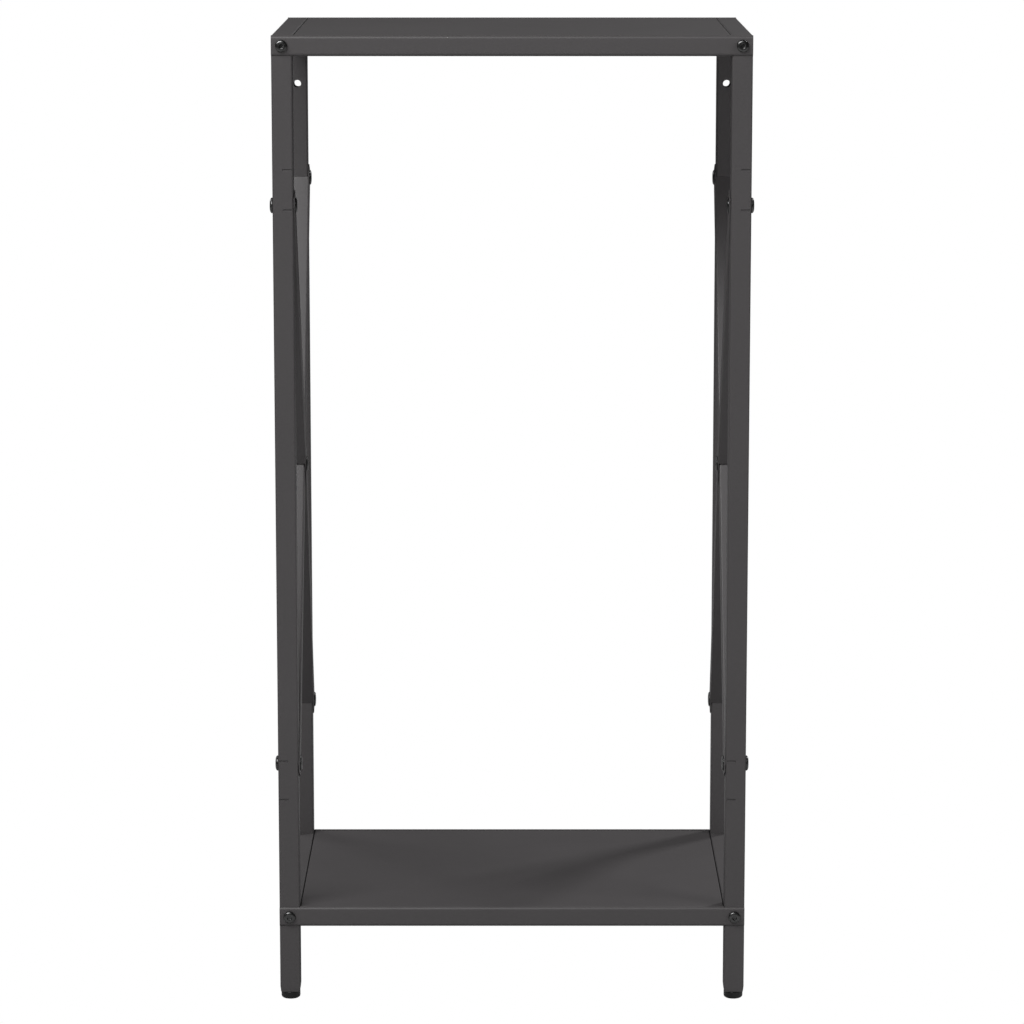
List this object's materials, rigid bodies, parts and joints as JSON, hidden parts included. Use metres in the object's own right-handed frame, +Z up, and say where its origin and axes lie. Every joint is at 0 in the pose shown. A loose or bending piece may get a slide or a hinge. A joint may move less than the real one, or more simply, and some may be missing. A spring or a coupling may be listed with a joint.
{
  "type": "firewood log rack",
  "caption": "Tall narrow open steel rack for stacking firewood, with square-tube legs, folded-steel top and base shelves and a bolted cross brace on each side.",
  "frame": {"origin": "on the floor, under the middle of the rack", "axes": "+Z up along the legs, -Y towards the front, +X to the right seen from the front"},
  "size_m": [0.4204, 0.2872, 0.86],
  "materials": {
    "frame_steel": "anthracite powder coat, satin",
    "shelf_steel": "anthracite powder coat, satin",
    "brace_steel": "anthracite powder coat, satin",
    "fastener_black": "black oxide, semi-gloss",
    "nut_zinc": "zinc plated",
    "foot_plastic": "black moulded plastic"
  },
  "bodies": {
    "root": {"base_front_left_rail_bolt": "fastener_black", "base_front_left_weld_nut": "nut_zinc", "base_front_rail": "shelf_steel", "base_front_right_rail_bolt": "fastener_black", "base_front_right_weld_nut": "nut_zinc", "base_left_side_rail": "shelf_steel", "base_panel": "shelf_steel", "base_rear_left_rail_bolt": "fastener_black", "base_rear_left_weld_nut": "nut_zinc", "base_rear_rail": "shelf_steel", "base_rear_right_rail_bolt": "fastener_black", "base_rear_right_weld_nut": "nut_zinc", "base_right_side_rail": "shelf_steel", "front_left_foot": "foot_plastic", "front_left_leg": "frame_steel", "front_right_foot": "foot_plastic", "front_right_leg": "frame_steel", "left_crossing_brace_bolt": "fastener_black", "left_crossing_cap_nut": "fastener_black", "left_front_lower_brace_bolt": "fastener_black", "left_front_lower_cap_nut": "fastener_black", "left_front_upper_brace_bolt": "fastener_black", "left_front_upper_cap_nut": "fastener_black", "left_inner_brace": "brace_steel", "left_outer_brace": "brace_steel", "left_rear_lower_brace_bolt": "fastener_black", "left_rear_lower_cap_nut": "fastener_black", "left_rear_upper_brace_bolt": "fastener_black", "left_rear_upper_cap_nut": "fastener_black", "rear_left_foot": "foot_plastic", "rear_left_leg": "frame_steel", "rear_right_foot": "foot_plastic", "rear_right_leg": "frame_steel", "right_crossing_brace_bolt": "fastener_black", "right_crossing_cap_nut": "fastener_black", "right_front_lower_brace_bolt": "fastener_black", "right_front_lower_cap_nut": "fastener_black", "right_front_upper_brace_bolt": "fastener_black", "right_front_upper_cap_nut": "fastener_black", "right_inner_brace": "brace_steel", "right_outer_brace": "brace_steel", "right_rear_lower_brace_bolt": "fastener_black", "right_rear_lower_cap_nut": "fastener_black", "right_rear_upper_brace_bolt": "fastener_black", "right_rear_upper_cap_nut": "fastener_black", "top_front_left_rail_bolt": "fastener_black", "top_front_left_weld_nut": "nut_zinc", "top_front_rail": "shelf_steel", "top_front_right_rail_bolt": "fastener_black", "top_front_right_weld_nut": "nut_zinc", "top_left_side_rail": "shelf_steel", "top_panel": "shelf_steel", "top_rear_left_rail_bolt": "fastener_black", "top_rear_left_weld_nut": "nut_zinc", "top_rear_rail": "shelf_steel", "top_rear_right_rail_bolt": "fastener_black", "top_rear_right_weld_nut": "nut_zinc", "top_right_side_rail": "shelf_steel"}
  },
  "joints": []
}
